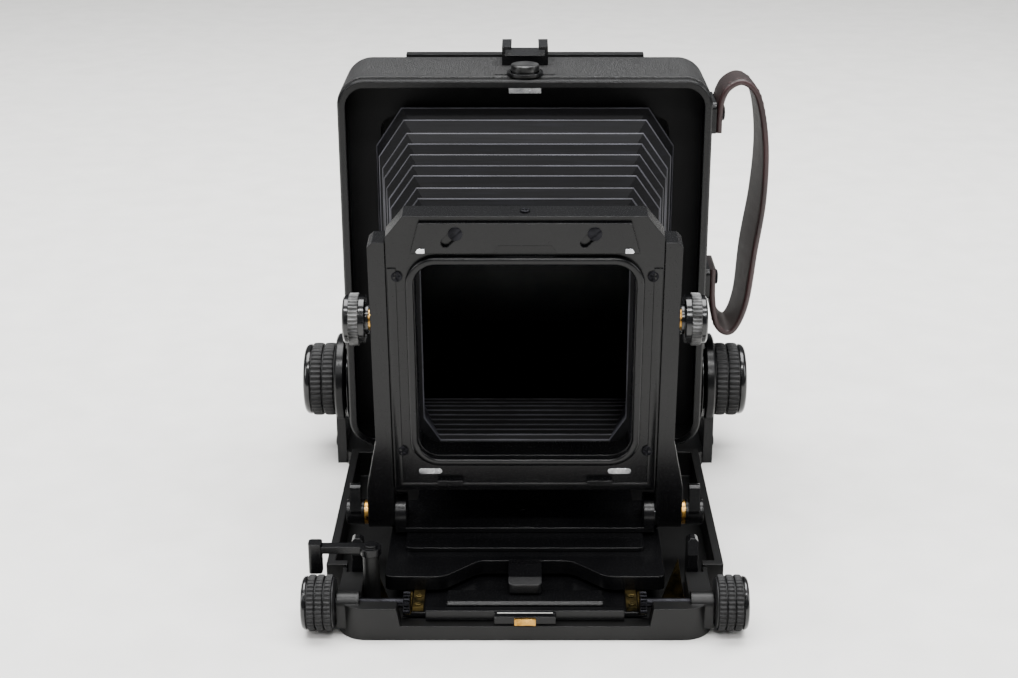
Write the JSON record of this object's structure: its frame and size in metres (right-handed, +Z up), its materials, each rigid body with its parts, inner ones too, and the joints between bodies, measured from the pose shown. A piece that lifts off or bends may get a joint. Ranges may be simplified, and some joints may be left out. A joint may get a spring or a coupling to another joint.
{
  "type": "folding camera",
  "caption": "Metal folding field camera opened for use: rear box with pleated bellows, drop-front bed with focusing rail, leaning front standard with no lens board, and grip strap.",
  "frame": {"origin": "centre of the tripod socket at the underside of the base", "axes": "+Z up, -Y towards the subject, +X to the side that carries the grip strap"},
  "size_m": [0.2181, 0.2273, 0.1997],
  "materials": {
    "black_paint": "satin",
    "black_casting": "matt",
    "leatherette": "grained",
    "knob_rubber": "ribbed",
    "knob_metal": "anodised",
    "bright_steel": "polished",
    "black_steel": "blackened",
    "brass": "brushed",
    "bellows_cloth": "coated",
    "strap_leather": "grained",
    "ground_glass": "frosted"
  },
  "bodies": {
    "bed": {"base_plate": "black_casting", "tripod_bush": "bright_steel", "side_arms": "black_casting", "arm_screws": "black_steel", "hinge_pins": "bright_steel", "bed_tray": "black_casting", "brass_gussets": "brass"},
    "rear_box": {"box_shell": "black_casting", "front_rim": "black_paint", "leather_panels": "leatherette", "accessory_shoe": "black_paint", "button_collar": "black_paint", "strap_bar": "black_paint", "strap_screws": "black_steel", "strap": "strap_leather", "tilt_studs": "black_steel", "back_plate": "black_casting", "spring_arms": "bright_steel", "bellows_rear_frame": "black_paint", "bellows": "bellows_cloth"},
    "tilt_knob_left": {"tilt_knob_left": "knob_rubber"},
    "tilt_knob_right": {"tilt_knob_right": "knob_rubber"},
    "release_button": {"release_button": "knob_metal"},
    "bed_latch": {"bed_latch": "bright_steel"},
    "glass_back": {"glass_frame": "black_casting", "ground_glass": "ground_glass"},
    "hood_lid": {"hood_lid": "black_casting"},
    "focus_rail": {"focus_rail": "black_paint", "focus_racks": "brass", "guide_strips": "brass", "rail_front_plate": "black_paint", "rail_cross_bar": "black_paint", "rail_stop": "brass", "rail_screws": "black_steel", "carriage": "black_casting"},
    "focus_drive_left": {"pinion_left": "bright_steel", "focus_knob_left": "knob_rubber"},
    "focus_drive_right": {"pinion_right": "bright_steel", "focus_knob_right": "knob_rubber"},
    "focus_lock_lever": {"focus_lock_lever": "black_paint"},
    "bed_lock_left": {"bed_lock_left": "black_paint"},
    "bed_lock_right": {"bed_lock_right": "black_paint"},
    "carriage_tongue": {"carriage_tongue": "black_paint"},
    "shift_plate": {"shift_plate": "black_paint"},
    "swing_yoke": {"swing_yoke": "black_paint", "tilt_pins": "bright_steel"},
    "tilt_lever_left": {"tilt_lever_left": "black_paint"},
    "tilt_lever_right": {"tilt_lever_right": "black_paint"},
    "uprights": {"uprights": "black_paint", "brass_washers": "brass"},
    "rise_knob_left": {"rise_knob_left": "knob_metal"},
    "rise_knob_right": {"rise_knob_right": "knob_metal"},
    "lens_frame": {"lens_frame": "black_paint", "seal_ring": "black_paint", "frame_screws": "black_steel", "board_lips": "black_paint", "slot_pads": "bright_steel", "slide_screws": "black_steel"},
    "board_lock_slide": {"board_lock_slide": "black_paint"}
  },
  "joints": [
    {"name": "rear_tilt", "type": "hinge", "parent": "bed", "child": "rear_box", "pos_m": [0, 0, 0.037], "axis": [1, 0, 0], "range_deg": [-10, 5], "deforming": ["bellows"]},
    {"name": "tilt_knob_left_turn", "type": "hinge", "parent": "rear_box", "child": "tilt_knob_left", "pos_m": [0, 0, 0.037], "axis": [1, 0, 0], "range_deg": [0, 120]},
    {"name": "tilt_knob_right_turn", "type": "hinge", "parent": "rear_box", "child": "tilt_knob_right", "pos_m": [0, 0, 0.037], "axis": [1, 0, 0], "range_deg": [0, 120]},
    {"name": "release_button_press", "type": "slide", "parent": "rear_box", "child": "release_button", "axis": [0, 0, -1], "range_m": [0, 0.002], "stiffness_N_per_m": 400},
    {"name": "bed_latch_draw", "type": "slide", "parent": "rear_box", "child": "bed_latch", "axis": [0, 1, 0], "range_m": [0, 0.002]},
    {"name": "glass_back_draw", "type": "slide", "parent": "rear_box", "child": "glass_back", "axis": [0, 1, 0], "range_m": [0, 0.006], "stiffness_N_per_m": 600},
    {"name": "hood_lid_open", "type": "hinge", "parent": "glass_back", "child": "hood_lid", "pos_m": [0, 0.0395, 0.1545], "axis": [1, 0, 0], "range_deg": [0, 100]},
    {"name": "focus", "type": "slide", "parent": "bed", "child": "focus_rail", "axis": [0, -1, 0], "range_m": [0, 0.009], "deforming": ["bellows"]},
    {"name": "focus_turn_left", "type": "hinge", "parent": "bed", "child": "focus_drive_left", "pos_m": [-0.08, -0.175, 0.0125], "axis": [1, 0, 0], "range_deg": [-132, 0]},
    {"name": "focus_turn_right", "type": "hinge", "parent": "bed", "child": "focus_drive_right", "pos_m": [0.08, -0.175, 0.0125], "axis": [1, 0, 0], "range_deg": [-132, 0]},
    {"name": "focus_lock_turn", "type": "hinge", "parent": "bed", "child": "focus_lock_lever", "pos_m": [-0.062, -0.163, 0.03], "axis": [0, 0, 1], "range_deg": [-35, 0]},
    {"name": "bed_lock_left_press", "type": "hinge", "parent": "bed", "child": "bed_lock_left", "pos_m": [-0.069, -0.146, 0.006], "axis": [0, 1, 0], "range_deg": [-8, 0], "stiffness_Nm_per_rad": 0.5},
    {"name": "bed_lock_right_press", "type": "hinge", "parent": "bed", "child": "bed_lock_right", "pos_m": [0.069, -0.146, 0.006], "axis": [0, 1, 0], "range_deg": [0, 8], "stiffness_Nm_per_rad": 0.5},
    {"name": "carriage_tongue_lift", "type": "hinge", "parent": "focus_rail", "child": "carriage_tongue", "pos_m": [0, -0.1477, 0.0175], "axis": [1, 0, 0], "range_deg": [-12, 0]},
    {"name": "shift", "type": "slide", "parent": "focus_rail", "child": "shift_plate", "axis": [1, 0, 0], "range_m": [-0.015, 0.015], "deforming": ["bellows"]},
    {"name": "swing", "type": "hinge", "parent": "shift_plate", "child": "swing_yoke", "pos_m": [0, -0.118, 0.018], "axis": [0, 0, 1], "range_deg": [-10, 10], "deforming": ["bellows"]},
    {"name": "front_tilt", "type": "hinge", "parent": "swing_yoke", "child": "uprights", "pos_m": [0, -0.118, 0.024], "axis": [1, 0, 0], "range_deg": [-6, 15], "deforming": ["bellows"]},
    {"name": "tilt_lever_left_turn", "type": "hinge", "parent": "swing_yoke", "child": "tilt_lever_left", "pos_m": [-0.072, -0.118, 0.024], "axis": [1, 0, 0], "range_deg": [0, 60]},
    {"name": "tilt_lever_right_turn", "type": "hinge", "parent": "swing_yoke", "child": "tilt_lever_right", "pos_m": [0.072, -0.118, 0.024], "axis": [1, 0, 0], "range_deg": [0, 60]},
    {"name": "rise_knob_left_turn", "type": "hinge", "parent": "uprights", "child": "rise_knob_left", "pos_m": [-0.068, -0.1273, 0.11553], "axis": [1, 0, 0], "range_deg": [0, 180]},
    {"name": "rise_knob_right_turn", "type": "hinge", "parent": "uprights", "child": "rise_knob_right", "pos_m": [0.068, -0.1273, 0.11553], "axis": [1, 0, 0], "range_deg": [0, 180]},
    {"name": "rise", "type": "slide", "parent": "uprights", "child": "lens_frame", "axis": [0, -0.1011, 0.9949], "range_m": [0, 0.03], "deforming": ["bellows"]},
    {"name": "board_lock_draw", "type": "slide", "parent": "lens_frame", "child": "board_lock_slide", "axis": [0.7071, -0.0715, 0.7035], "range_m": [0, 0.0045]}
  ],
  "couplings": [
    {"joint": "bed_latch_draw", "follows": "release_button_press", "ratio": 0.75},
    {"joint": "focus_turn_left", "follows": "focus", "rad_per_m": -250},
    {"joint": "focus_turn_right", "follows": "focus", "rad_per_m": -250}
  ]
}
